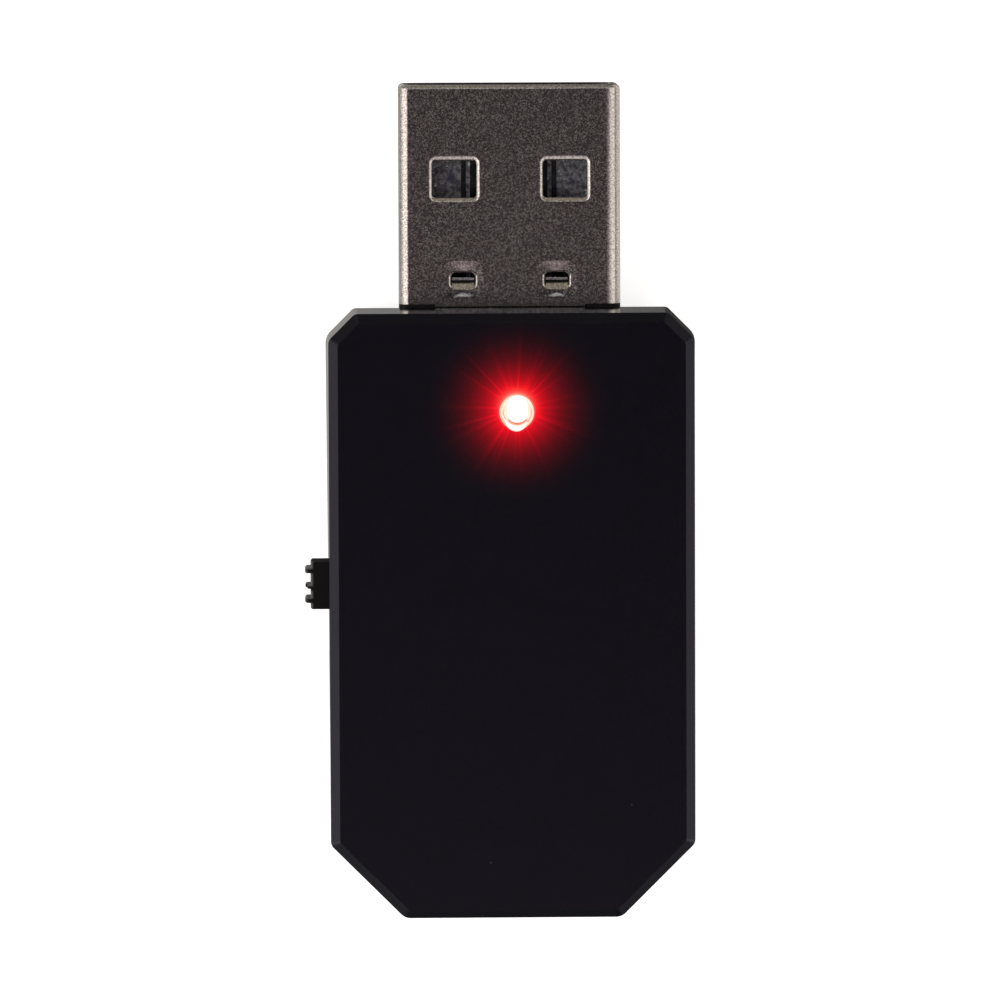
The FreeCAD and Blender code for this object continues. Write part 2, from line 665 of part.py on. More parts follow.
def tongue_traces():
    """Two bare tracks that run back between the fingers."""
    traces = []
    for x in (-TRACE_X, TRACE_X):
        traces.append(
            box(
                (x - TRACE_WIDTH / 2, x + TRACE_WIDTH / 2),
                (BOARD_FRONT_Y, TIP_Y - TONGUE_SETBACK - PAD_SETBACK),
                (BOARD_TOP_Z, BOARD_TOP_Z + COPPER),
            )
        )
    return group(traces)


def plug_solder():
    """Solder fillets where the shell's feet pass through the board."""
    fillets = []
    reach = PLUG_FOOT_TOP / 2
    inner_x = PLUG_WIDTH / 2 - SHEET
    for side in (-1, 1):
        profile = [
            FreeCAD.Vector(side * inner_x, SHELL_REAR_Y - PLUG_FOOT_LENGTH, BOARD_TOP_Z),
            FreeCAD.Vector(side * (inner_x - reach), SHELL_REAR_Y - PLUG_FOOT_LENGTH, BOARD_TOP_Z),
            FreeCAD.Vector(side * inner_x, SHELL_REAR_Y - PLUG_FOOT_LENGTH, BOARD_TOP_Z + reach),
        ]
        face = Part.Face(Part.makePolygon(profile + profile[:1]))
        fillets.append(face.extrude(FreeCAD.Vector(0, PLUG_FOOT_LENGTH, 0)))
    return group(fillets)


def led_package():
    """The surface-mounted light under the light pipe."""
    return block_on_board((LIGHT_X, LIGHT_Y) + LED_SIZE)


def light_pipe():
    """The clear rod that carries the light up through the lid and ends in a low dome."""
    flange_bottom_z = CASE_CEILING_Z - LIGHT_FLANGE_HEIGHT
    dome_foot_z = CASE_HEIGHT - LIGHT_DOME_HEIGHT
    dome_radius = (LIGHT_PIPE_RADIUS**2 + LIGHT_DOME_HEIGHT**2) / (2 * LIGHT_DOME_HEIGHT)
    half_angle = math.asin(LIGHT_PIPE_RADIUS / dome_radius) / 2
    middle_x = dome_radius * math.sin(half_angle)
    middle_z = CASE_HEIGHT - dome_radius * (1 - math.cos(half_angle))
    outline = [
        (0, LIGHT_PIPE_BOTTOM_Z),
        (LIGHT_PIPE_RADIUS, LIGHT_PIPE_BOTTOM_Z),
        (LIGHT_PIPE_RADIUS, flange_bottom_z),
        (LIGHT_FLANGE_RADIUS, flange_bottom_z),
        (LIGHT_FLANGE_RADIUS, CASE_CEILING_Z),
        (LIGHT_PIPE_RADIUS, CASE_CEILING_Z),
        (LIGHT_PIPE_RADIUS, dome_foot_z),
    ]
    points = [FreeCAD.Vector(LIGHT_X + x, LIGHT_Y, z) for x, z in outline]
    middle = FreeCAD.Vector(LIGHT_X + middle_x, LIGHT_Y, middle_z)
    crown = FreeCAD.Vector(LIGHT_X, LIGHT_Y, CASE_HEIGHT)
    sides = Part.makePolygon(points)
    dome = Part.Arc(points[-1], middle, crown).toShape()
    axis = Part.makePolygon([crown, points[0]])
    profile = Part.Face(Part.Wire(sides.Edges + [dome] + axis.Edges))
    return profile.revolve(points[0], FreeCAD.Vector(0, 0, 1), 360)


def switch_y_range(half_length):
    """A range along the switch, centred on the switch."""
    return (SWITCH_Y - half_length, SWITCH_Y + half_length)


def frame_feet():
    """Two feet at the ends of the switch frame that pass through the board."""
    feet = []
    centre_x = SWITCH_FACE_X + SWITCH_DEPTH / 2
    for side in (-1, 1):
        end_y = SWITCH_Y + side * SWITCH_LENGTH / 2
        y_range = sorted((end_y, end_y - side * SWITCH_SHEET))
        feet.append(
            box(
                (centre_x - FRAME_FOOT_WIDTH / 2, centre_x + FRAME_FOOT_WIDTH / 2),
                tuple(y_range),
                (BOARD_BOTTOM_Z - PIN_BELOW_BOARD, BOARD_TOP_Z),
            )
        )
    return feet


def switch_frame():
    """The folded metal cover of the slide switch, with a slot for the knob."""
    top_z = BOARD_TOP_Z + SWITCH_HEIGHT
    rear_x = SWITCH_FACE_X + SWITCH_DEPTH
    outer = box(
        (SWITCH_FACE_X, rear_x),
        switch_y_range(SWITCH_LENGTH / 2),
        (BOARD_TOP_Z, top_z),
    )
    inner = box(
        (SWITCH_FACE_X + SWITCH_SHEET, rear_x - SWITCH_SHEET),
        switch_y_range(SWITCH_LENGTH / 2 - SWITCH_SHEET),
        (BOARD_TOP_Z, top_z - SWITCH_SHEET),
    )
    slot = box(
        (SWITCH_FACE_X - SWITCH_SHEET, SWITCH_FACE_X + 2 * SWITCH_SHEET),
        switch_y_range(KNOB_LENGTH / 2 + SWITCH_TRAVEL / 2 + FRAME_SLOT_GAP),
        (KNOB_Z - KNOB_HEIGHT / 2 - FRAME_SLOT_GAP, KNOB_Z + KNOB_HEIGHT / 2 + FRAME_SLOT_GAP),
    )
    frame = outer.cut(inner).cut(slot)
    for foot in frame_feet():
        frame = frame.fuse(foot)
    return frame.removeSplitter()


def switch_base():
    """The moulded floor of the switch, which carries its terminals."""
    base = box(
        (SWITCH_FACE_X + SWITCH_SHEET, SWITCH_FACE_X + SWITCH_DEPTH - SWITCH_SHEET),
        switch_y_range(SWITCH_LENGTH / 2 - SWITCH_SHEET),
        (BOARD_TOP_Z, BOARD_TOP_Z + SWITCH_BASE_HEIGHT),
    )
    for pin in switch_pins():
        base = base.cut(pin)
    return base


def switch_pins():
    """The three terminal pins, from the switch's floor down through the board."""
    pins = []
    for step in (-1, 0, 1):
        y = SWITCH_Y + step * TERMINAL_PITCH
        pins.append(
            box(
                (TERMINAL_X - TERMINAL_SIZE[0] / 2, TERMINAL_X + TERMINAL_SIZE[0] / 2),
                (y - TERMINAL_SIZE[1] / 2, y + TERMINAL_SIZE[1] / 2),
                (BOARD_BOTTOM_Z - PIN_BELOW_BOARD, BOARD_TOP_Z + SWITCH_BASE_HEIGHT),
            )
        )
    return pins


def switch_terminals():
    """Three terminals: a flat head on the switch's floor and a pin through the board."""
    terminals = []
    width, length, height = TERMINAL_HEAD
    for step, pin in zip((-1, 0, 1), switch_pins()):
        y = SWITCH_Y + step * TERMINAL_PITCH
        head = box(
            (TERMINAL_X - width / 2, TERMINAL_X + width / 2),
            (y - length / 2, y + length / 2),
            (BOARD_TOP_Z + SWITCH_BASE_HEIGHT, BOARD_TOP_Z + SWITCH_BASE_HEIGHT + height),
        )
        terminals.append(head.fuse(pin).removeSplitter())
    return group(terminals)


def slider_range():
    """How far the slider reaches along Y at rest."""
    half_length = SWITCH_LENGTH / 2 - SWITCH_SHEET - SWITCH_TRAVEL / 2 - SLIDER_GAP
    return (KNOB_Y - half_length, KNOB_Y + half_length)


def switch_knob():
    """The moulded slider, its stem through the wall and its finger face with upright ridges."""
    inner_x = SWITCH_FACE_X + SWITCH_SHEET + SLIDER_GAP
    slider = box(
        (inner_x, SWITCH_FACE_X + SWITCH_DEPTH - SWITCH_SHEET - SLIDER_GAP),
        slider_range(),
        (SLIDER_BOTTOM_Z, BOARD_TOP_Z + SWITCH_HEIGHT - SWITCH_SHEET - SLIDER_GAP),
    )
    half_length = KNOB_LENGTH / 2
    corners = [
        (-KNOB_REACH, -half_length),
        (inner_x + SWITCH_SHEET, -half_length),
        (inner_x + SWITCH_SHEET, half_length),
        (-KNOB_REACH, half_length),
    ]
    base_z = KNOB_Z - KNOB_HEIGHT / 2
    points = [FreeCAD.Vector(x, KNOB_Y + y, base_z) for x, y in corners]
    outline = rounded_wire(points, [KNOB_CORNER_RADIUS] * len(points))
    stem = Part.Face(outline).extrude(FreeCAD.Vector(0, 0, KNOB_HEIGHT))
    knob = slider.fuse(stem)
    for place, width, reach, height in RIDGES:
        ridge = finger_ridge(KNOB_Y + place, width, reach, (base_z, base_z + height))
        knob = knob.fuse(ridge)
    return knob.removeSplitter()


def finger_ridge(y, width, reach, z_range):
    """One upright ridge on the knob's finger face, with a round crest."""
    radius = width / 2
    crest_x = -KNOB_REACH - reach + radius
    rib = box((crest_x, -KNOB_REACH + radius), (y - radius, y + radius), z_range)
    return rib.fuse(post(crest_x, y, radius, *z_range))


def switch_wiper():
    """The spring leaf under the slider that joins two terminals."""
    width, length, thickness = WIPER_SIZE
    leaf_z = SLIDER_BOTTOM_Z - thickness
    leaf = box(
        (TERMINAL_X - width / 2, TERMINAL_X + width / 2),
        (KNOB_Y - length / 2, KNOB_Y + length / 2),
        (leaf_z, SLIDER_BOTTOM_Z),
    )
    for side in (-1, 1):
        y = KNOB_Y + side * TERMINAL_PITCH / 2
        leaf = leaf.fuse(post(TERMINAL_X, y, WIPER_DIMPLE_RADIUS, leaf_z - WIPER_DIMPLE_HEIGHT, leaf_z))
    return leaf.removeSplitter()


def shield_can():
    """The sheet lid over the radio chip, with a grid of vent holes."""
    x, y, width, length, height = SHIELD_CAN
    can = block_on_board(SHIELD_CAN)
    room = (x, y, width - 2 * SHIELD_SHEET, length - 2 * SHIELD_SHEET, height - SHIELD_SHEET)
    can = can.cut(block_on_board(room))
    first = -(SHIELD_VENT_GRID - 1) / 2
    top_z = BOARD_TOP_Z + height
    for row in range(SHIELD_VENT_GRID):
        for column in range(SHIELD_VENT_GRID):
            vent_x = x + (first + column) * SHIELD_VENT_PITCH
            vent_y = y + (first + row) * SHIELD_VENT_PITCH
            can = can.cut(post(vent_x, vent_y, SHIELD_VENT_RADIUS, top_z - 2 * SHIELD_SHEET, top_z))
    return can


def leads(place, per_side, pitch):
    """Leads along the two long sides of a chip package, as separate solids."""
    x, y, width, length, height = place
    lead_width, lead_length, lead_height = LEAD_SIZE
    first = -(per_side - 1) / 2
    pins = []
    for side in (-1, 1):
        near_y = y + side * length / 2
        y_range = sorted((near_y, near_y + side * lead_length))
        for index in range(per_side):
            pin_x = x + (first + index) * pitch
            pins.append(
                box(
                    (pin_x - lead_width / 2, pin_x + lead_width / 2),
                    tuple(y_range),
                    (BOARD_TOP_Z, BOARD_TOP_Z + lead_height),
                )
            )
    return group(pins)


def small_parts(rows):
    """A field of small two-ended parts, as separate solids."""
    first_x, row_places = rows
    parts = []
    for y in row_places:
        for column in range(SMALL_PART_COLUMNS):
            x = first_x + column * SMALL_PART_PITCH
            parts.append(block_on_board((x, y) + SMALL_PART_SIZE))
    return group(parts)


NODES = {
    "top_cover": top_cover(),
    "bottom_cover": bottom_cover(),
    "plug_shell": plug_shell(),
    "plug_spacer": plug_spacer(),
    "circuit_board": circuit_board(),
    "contact_pads": contact_pads(),
    "tongue_traces": tongue_traces(),
    "plug_solder": plug_solder(),
    "led_package": led_package(),
    "light_pipe": light_pipe(),
    "switch_frame": switch_frame(),
    "switch_base": switch_base(),
    "switch_terminals": switch_terminals(),
    "switch_knob": switch_knob(),
    "switch_wiper": switch_wiper(),
    "radio_chip": block_on_board(CHIP),
    "shield_can": shield_can(),
    "crystal": block_on_board(CRYSTAL),
    "memory_chip": block_on_board(MEMORY),
    "memory_chip_leads": leads(MEMORY, MEMORY_LEADS_PER_SIDE, MEMORY_LEAD_PITCH),
    "voltage_regulator": block_on_board(REGULATOR),
    "voltage_regulator_leads": leads(REGULATOR, REGULATOR_LEADS_PER_SIDE, REGULATOR_LEAD_PITCH),
    "inductor": block_on_board(INDUCTOR),
    "power_capacitor": block_on_board(POWER_CAPACITOR),
    "small_capacitors": small_parts(CAPACITOR_ROWS),
    "resistors": small_parts(RESISTOR_ROWS),
    "chip_antenna": block_on_board(ANTENNA),
}

os.makedirs("parts", exist_ok=True)
for name, shape in NODES.items():
    shape.exportStep("parts/" + name + ".step")
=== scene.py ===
import json
import math

import bmesh
import bpy
from mathutils import Matrix, Vector


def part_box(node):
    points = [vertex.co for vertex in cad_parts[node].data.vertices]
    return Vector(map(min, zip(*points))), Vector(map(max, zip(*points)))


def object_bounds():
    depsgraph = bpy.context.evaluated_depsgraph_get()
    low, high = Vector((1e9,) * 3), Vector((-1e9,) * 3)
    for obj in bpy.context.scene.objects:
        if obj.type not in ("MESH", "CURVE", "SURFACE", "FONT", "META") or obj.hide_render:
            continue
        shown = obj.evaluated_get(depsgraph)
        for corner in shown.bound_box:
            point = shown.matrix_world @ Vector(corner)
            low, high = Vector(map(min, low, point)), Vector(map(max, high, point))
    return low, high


MM = 0.001

# ---- Camera: almost straight down, leaning a little towards the plug and the switch ----
CAMERA_DISTANCE = 400 * MM
CAMERA_LEAN_TO_PLUG = math.radians(4.866)
CAMERA_LEAN_TO_SWITCH = math.radians(1.304)
CAMERA_ROLL = math.radians(-0.21)
CAMERA_LENS_MM = 267.4
CAMERA_SENSOR_MM = 36.0
CAMERA_AIM = Vector((-0.665, 6.356, 9.6)) * MM

# ---- Light tent: brightness of each light, and its share of that in some directions ----
ZENITH_LIGHT = 0.044
ZENITH_FRONT_SHARE = 0.12
LEFT_LIGHT = 1.45
RIGHT_LIGHT = 1.02
LEFT_HORIZON_SHARE = 0.55
RIGHT_HORIZON_SHARE = 0.32
DIAGONAL_SHARE = 0.05
FRONT_STRIP_LIGHT = 0.8
FRONT_LIGHT = 0.30
REAR_LIGHT = 0.62
BELOW_LEFT_LIGHT = 0.40
BELOW_RIGHT_LIGHT = 0.72
BELOW_FILL = 0.06
FRONT_FILL = 0.11
REAR_FILL = 0.08
FRONT_SIDE_SHARE = 0.4
# How much of the light from below is lost behind the case: near the horizon, and well under it.
BEHIND_DIMMING = (0.92, 0.35)

# ---- Light tent: the two direction cosines between which each light rises or falls ----
SIDEWAYS_END = (0.22, 0.60)
LEFT_EDGE = (-0.16, -0.30)
LEFT_HORIZON = (-0.88, -0.97)
RIGHT_EDGE = (0.10, 0.84)
RIGHT_HORIZON = (0.93, 1.0)
STRIP_REAR_EDGE = (0.19, 0.25)
STRIP_FRONT_EDGE = (0.38, 0.30)
STRIP_ENDS = (0.5, 0.3)
FRONT_EDGE = (0.28, 0.42)
FRONT_HORIZON = (0.99, 0.93)
FRONT_SIDES = (0.35, 0.65)
REAR_EDGE = (-0.11, -0.31)
REAR_HORIZON = (-0.98, -0.88)
ZENITH_FADE = (-0.06, 0.10)
UPPER_EDGE = (-0.12, -0.02)
LOWER_EDGE = (-0.02, -0.12)
BELOW_LEFT_EDGE = (0.09, -0.05)
BELOW_RIGHT_EDGE = (0.3, 0.5)
BEHIND_EDGE = (-0.30, -0.60)
BEHIND_DEPTH = (-0.15, -0.35)
FRONT_FILL_EDGE = (0.90, 0.99)
REAR_FILL_EDGE = (-0.90, -0.99)
ZENITH_TINT_EDGE = (0.9, 0.97)

# ---- Light tent: colours ----
TENT_TINT = (1.0, 0.965, 0.93)
ZENITH_TINT = (1.12, 0.965, 1.03)
FRONT_TINT = (1.0, 0.86, 0.42)
STRIP_TINT = (0.80, 0.87, 1.0)

# ---- Floor ----
FLOOR_GLOW = 0.75
FLOOR_SIZE = 3.0
FLOOR_GAP = 0.02 * MM

# ---- Softened edges, and how far the surface turns where a worn edge starts and is full ----
CASE_EDGE_ROUND = 0.07 * MM
KNOB_EDGE_ROUND = 0.09 * MM
PLUG_EDGE_ROUND = 0.04 * MM
SMALL_EDGE_ROUND = 0.03 * MM
EDGE_SEGMENTS = 3
EDGE_ANGLE = math.radians(25)
EDGE_SAMPLES = 4
EDGE_COSINES = (0.995, 0.93)

# ---- Indicator light, in millimetres from the pipe's middle, with its colours and strengths ----
GLOW_CENTRE = (0.0, 0.20)
GLOW_REACH = 5.2
GLOW_FALL = -1.25
GLOW_END_SHARPNESS = 1.2
GLOW_STRENGTH = 4.1
RAY_PATTERN = {"Scale": 8.0, "Detail": 3.0, "Roughness": 0.6}
RAY_CONTRAST = (0.45, 0.78)
RAY_STRENGTH = (0.93, 1.65)
BLOOM_START = 0.70
BLOOM_FALL = -8.0
BLOOM_STRENGTH = (0.4, 1.9)
BLOOM_GREEN = 0.28
BLOOM_BLUE = 0.17
GLOW_GREEN = 0.0005
GLOW_BLUE = 0.010
CORE_CENTRE = (0.03, 0.16)
CORE_HALF_SIZE = (0.54, 0.70)
CORE_SQUARENESS = 2.6
KEEL_CENTRE = (-0.02, -0.42)
KEEL_RADIUS = 0.62
KEEL_COLOUR = (1.0, 0.93, 0.82)
INNER_RING_CENTRE = (0.04, 0.03)
INNER_RING_RADIUS = 0.73

# ---- Where the plug's full section begins, in millimetres from the case's middle ----
NECK_MIDDLE_Y = 16.605
NECK_CORNER_Y = 16.725
NECK_CORNER_X = 4.05

# ---- Plastics: worn edges in millimetres, sheen and spread of roughness ----
CASE_WEAR_WIDTH = 0.10
KNOB_WEAR_WIDTH = 0.12
SMALL_WEAR_WIDTH = 0.06
CASE_SHEEN = (0.84, 0.82, 1.0)
KNOB_IOR = 1.22
ROUGH_SPREAD = 0.08

# ---- The knob's painted highlight on its upper edge: places in millimetres, and how pale it is ----
KNOB_SIDE_X = -10.9
KNOB_TOP_Z = 6.6
KNOB_HIGHLIGHT_WIDTH = 0.20
KNOB_RIDGE_REACH = 0.30
KNOB_RIDGE_PLACES = (2.28, 1.34, 0.66)
KNOB_SIDE_HIGHLIGHT = 0.30
KNOB_TIP_HIGHLIGHT = 0.14

# ---- The shaded part of the plug's openings, in millimetres ----
INSIDE_TOP_Z = 5.98
INSIDE_BOTTOM_Z = 5.60
INSIDE_HALF_WIDTH = 5.0

# ---- Places of the colour sockets on Blender's Mix node ----
MIX_COLOUR_INPUTS = (0, 6, 7)
MIX_COLOUR_OUTPUT = 2

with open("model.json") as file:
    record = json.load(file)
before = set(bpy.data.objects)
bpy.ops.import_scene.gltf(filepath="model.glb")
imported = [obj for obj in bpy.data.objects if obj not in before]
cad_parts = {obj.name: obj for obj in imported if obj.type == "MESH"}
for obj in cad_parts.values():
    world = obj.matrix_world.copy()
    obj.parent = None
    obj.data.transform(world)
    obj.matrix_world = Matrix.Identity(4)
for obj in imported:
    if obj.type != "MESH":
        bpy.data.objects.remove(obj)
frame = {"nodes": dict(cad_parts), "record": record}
cad_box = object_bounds()


# ---------------------------------------------------------------- node helpers
class Tree:
    """Short ways to add and join nodes in one node tree."""

    def __init__(self, tree):
        self.tree = tree

    def add(self, kind, **settings):
        """A new node of one kind, with its settings."""
        node = self.tree.nodes.new(kind)
        for key, value in settings.items():
            setattr(node, key, value)
        return node

    def put(self, value, socket):
        """Links a node's output, or sets a plain number or colour."""
        if isinstance(value, (int, float)):
            socket.default_value = value
        elif isinstance(value, tuple):
            socket.default_value = (*value, 1.0) if len(socket.default_value) == 4 else value
        else:
            self.tree.links.new(value, socket)

    def math(self, operation, first, second=0.0):
        """One sum or function of one or two values."""
        node = self.add("ShaderNodeMath", operation=operation)
        self.put(first, node.inputs[0])
        self.put(second, node.inputs[1])
        return node.outputs[0]

    def total(self, *values):
        """All the values added up."""
        result = values[0]
        for value in values[1:]:
            result = self.math("ADD", result, value)
        return result

    def product(self, *values):
        """All the values multiplied together."""
        result = values[0]
        for value in values[1:]:
            result = self.math("MULTIPLY", result, value)
        return result

    def ranged(self, value, low, high, to_low=0.0, to_high=1.0):
        """Carries a value from one range to another, with soft ends."""
        node = self.add("ShaderNodeMapRange", interpolation_type="SMOOTHSTEP")
        self.put(value, node.inputs["Value"])
        limits = {"From Min": low, "From Max": high, "To Min": to_low, "To Max": to_high}
        for key, number in limits.items():
            node.inputs[key].default_value = number
        return node.outputs["Result"]

    def mix(self, factor, first, second):
        """Carries one colour to another as the factor goes from 0 to 1."""
        node = self.add("ShaderNodeMix", data_type="RGBA")
        factor_in, first_in, second_in = (node.inputs[place] for place in MIX_COLOUR_INPUTS)
        self.put(factor, factor_in)
        self.put(first, first_in)
        self.put(second, second_in)
        return node.outputs[MIX_COLOUR_OUTPUT]

    def colour(self, red, green, blue):
        """One colour from three values."""
        node = self.add("ShaderNodeCombineColor")
        for socket, value in zip(node.inputs, (red, green, blue)):
            self.put(value, socket)
        return node.outputs["Color"]

    def split(self, vector):
        """The three outputs x, y and z of a vector."""
        node = self.add("ShaderNodeSeparateXYZ")
        self.put(vector, node.inputs[0])
        return node.outputs


class Finish(Tree):
    """One material's node tree, with patterns measured in millimetres of the object."""

    def __init__(self, name):
        self.material = bpy.data.materials.new(name)
        self.material.use_nodes = True
        super().__init__(self.material.node_tree)
        self.shader = self.tree.nodes["Principled BSDF"]
        place = self.add("ShaderNodeTexCoord").outputs["Object"]
        self.place = self.scaled(place, (1 / MM,) * 3)

    def scaled(self, vector, scale, offset=(0.0, 0.0, 0.0)):
        """A vector stretched along each axis and then moved."""
        node = self.add("ShaderNodeMapping")
        node.inputs["Scale"].default_value = scale
        node.inputs["Location"].default_value = offset
        self.put(vector, node.inputs["Vector"])
        return node.outputs["Vector"]

    def noise(self, per_mm, detail=2.0, rough=0.5, stretch=(1.0, 1.0, 1.0), offset=(0.0, 0.0, 0.0)):
        """A cloudy pattern from 0 to 1, with so many cells to the millimetre."""
        node = self.add("ShaderNodeTexNoise")
        node.inputs["Scale"].default_value = per_mm
        node.inputs["Detail"].default_value = detail
        node.inputs["Roughness"].default_value = rough
        self.put(self.scaled(self.place, stretch, offset), node.inputs["Vector"])
        return node.outputs["Fac"]

    def specks(self, per_mm, size, offset=(0.0, 0.0, 0.0)):
        """Small round spots, one to each cell."""
        node = self.add("ShaderNodeTexVoronoi")
        node.inputs["Scale"].default_value = per_mm
        self.put(self.scaled(self.place, (1.0, 1.0, 1.0), offset), node.inputs["Vector"])
        return self.ranged(node.outputs["Distance"], size, size * 0.5)

    def bump(self, height, strength, depth_mm):
        """A surface direction that follows a pattern's height."""
        node = self.add("ShaderNodeBump")
        node.inputs["Strength"].default_value = strength
        node.inputs["Distance"].default_value = depth_mm * MM
        self.put(height, node.inputs["Height"])
        return node.outputs["Normal"]

    def edges(self, width_mm):
        """1 along the sharp edges, fading to 0 away from them."""
        rounded = self.add("ShaderNodeBevel", samples=EDGE_SAMPLES)
        rounded.inputs["Radius"].default_value = width_mm * MM
        straight = self.add("ShaderNodeNewGeometry").outputs["Normal"]
        facing = self.add("ShaderNodeVectorMath", operation="DOT_PRODUCT")
        self.put(rounded.outputs[0], facing.inputs[0])
        self.put(straight, facing.inputs[1])
        return self.ranged(facing.outputs["Value"], *EDGE_COSINES)

    def use(self, **values):
        """Sets or links the shader's sockets; underscores stand for spaces."""
        for key, value in values.items():
            self.put(value, self.shader.inputs[key.replace("_", " ")])


# ---------------------------------------------------------------- indicator light
def light_offset(finish, shift):
    """Across and along distances from a point near the light pipe's middle."""
    low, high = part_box("light_pipe")
    middle = (low + high) / 2 / MM
    x, y, _ = finish.split(finish.place)
    across = finish.math("SUBTRACT", x, middle.x + shift[0])
    along = finish.math("SUBTRACT", y, middle.y + shift[1])
    return across, along


def light_distance(finish, shift):
    """Distance from a point near the light pipe's middle."""
    across, along = light_offset(finish, shift)
    squares = finish.total(finish.product(across, across), finish.product(along, along))
    return finish.math("SQRT", squares)


def keel(finish):
    """The hot sliver of light at the lower edge of the window."""
    inside = finish.ranged(light_distance(finish, KEEL_CENTRE), KEEL_RADIUS, KEEL_RADIUS - 0.05)
    from_ring = light_distance(finish, INNER_RING_CENTRE)
    outside = finish.ranged(from_ring, INNER_RING_RADIUS, INNER_RING_RADIUS + 0.04)
    return finish.product(inside, outside)


def rays(finish):
    """Fine streaks that spread from the light."""
    across, along = light_offset(finish, GLOW_CENTRE)
    angle = finish.math("ARCTAN2", along, across)
    circle = finish.colour(finish.math("COSINE", angle), finish.math("SINE", angle), 0.0)
    streaks = finish.add("ShaderNodeTexNoise")
    finish.put(circle, streaks.inputs["Vector"])
    for name, value in RAY_PATTERN.items():
        streaks.inputs[name].default_value = value
    return finish.ranged(streaks.outputs["Fac"], *RAY_CONTRAST, *RAY_STRENGTH)


def red_glow(finish, distance):
    """The wide red glow with its streaks, gone at GLOW_REACH."""
    fall = finish.math("EXPONENT", finish.product(distance, GLOW_FALL))
    share = finish.product(distance, 1 / GLOW_REACH)
    room = finish.math("MAXIMUM", finish.math("SUBTRACT", 1.0, finish.product(share, share)), 0.0)
    return finish.product(fall, finish.math("POWER", room, GLOW_END_SHARPNESS), GLOW_STRENGTH, rays(finish))


def white_bloom(finish, distance):
    """The white heat close to the window, strongest on the side towards the plug."""
    beyond = finish.math("SUBTRACT", distance, BLOOM_START)
    fall = finish.math("EXPONENT", finish.product(beyond, BLOOM_FALL))
    along = light_offset(finish, GLOW_CENTRE)[1]
    return finish.product(fall, finish.ranged(along, -0.6, 0.7, *BLOOM_STRENGTH))


def spilt_light(finish):
    """Red light on the lid round the window, hot at the rim and fading outwards."""
    distance = light_distance(finish, GLOW_CENTRE)
    lid_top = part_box("top_cover")[1].z / MM
    height = finish.split(finish.place)[2]
    top = finish.ranged(height, lid_top - 0.25, lid_top - 0.10)
    red = finish.product(red_glow(finish, distance), top)
    bloom = finish.product(white_bloom(finish, distance), top)
    green = finish.total(finish.product(red, GLOW_GREEN), finish.product(bloom, BLOOM_GREEN))
    blue = finish.total(finish.product(red, GLOW_BLUE), finish.product(bloom, BLOOM_BLUE))
    glow = finish.colour(red, green, blue)
    return finish.mix(finish.product(keel(finish), top), glow, KEEL_COLOUR)


def light_core(finish, across, along):
    """1 inside the white-hot middle, which is an upright rounded oblong."""
    sides = []
    for offset, half_size in zip((across, along), CORE_HALF_SIZE):
        share = finish.math("ABSOLUTE", finish.product(offset, 1 / half_size))
        sides.append(finish.math("POWER", share, CORE_SQUARENESS))
    return finish.ranged(finish.total(*sides), 1.12, 0.86)


def clear_light_pipe():
    """The clear window lit from below: a white-hot middle, pale rings and a red gap under it."""
    finish = Finish("clear_light_pipe")
    ripple = finish.noise(per_mm=1.7, detail=2.0, rough=0.5)
    across, along = light_offset(finish, CORE_CENTRE)
    from_ring = light_distance(finish, INNER_RING_CENTRE)
    wobble = finish.total(from_ring, finish.ranged(ripple, 0.3, 0.7, -0.03, 0.03))
    gap = finish.product(finish.ranged(along, -0.45, -0.62), finish.ranged(from_ring, 0.72, 0.66))
    groove = finish.product(finish.ranged(wobble, 0.70, 0.745), finish.ranged(wobble, 0.80, 0.755))
    low_side = finish.ranged(along, 0.35, -0.25)
    pale_ring, groove_red = (1.0, 0.85, 0.66), (0.93, 0.30, 0.20)
    outer_ring, gap_red = (1.0, 0.55, 0.38), (0.95, 0.19, 0.10)
    white_hot, keel_white = (1.6, 1.6, 1.6), (1.2, 1.15, 1.0)
    shade = finish.mix(finish.product(groove, low_side), pale_ring, groove_red)
    shade = finish.mix(finish.ranged(from_ring, 0.84, 0.91), shade, outer_ring)
    shade = finish.mix(gap, shade, gap_red)
    shade = finish.mix(light_core(finish, across, along), shade, white_hot)
    shade = finish.mix(keel(finish), shade, keel_white)
    finish.use(Emission_Color=shade, Emission_Strength=1.0)
    finish.use(Base_Color=finish.mix(ripple, (0.02, 0.01, 0.01), (0.04, 0.02, 0.02)))
    finish.use(Roughness=finish.ranged(ripple, 0.3, 0.7, 0.05, 0.12))
    return finish.material


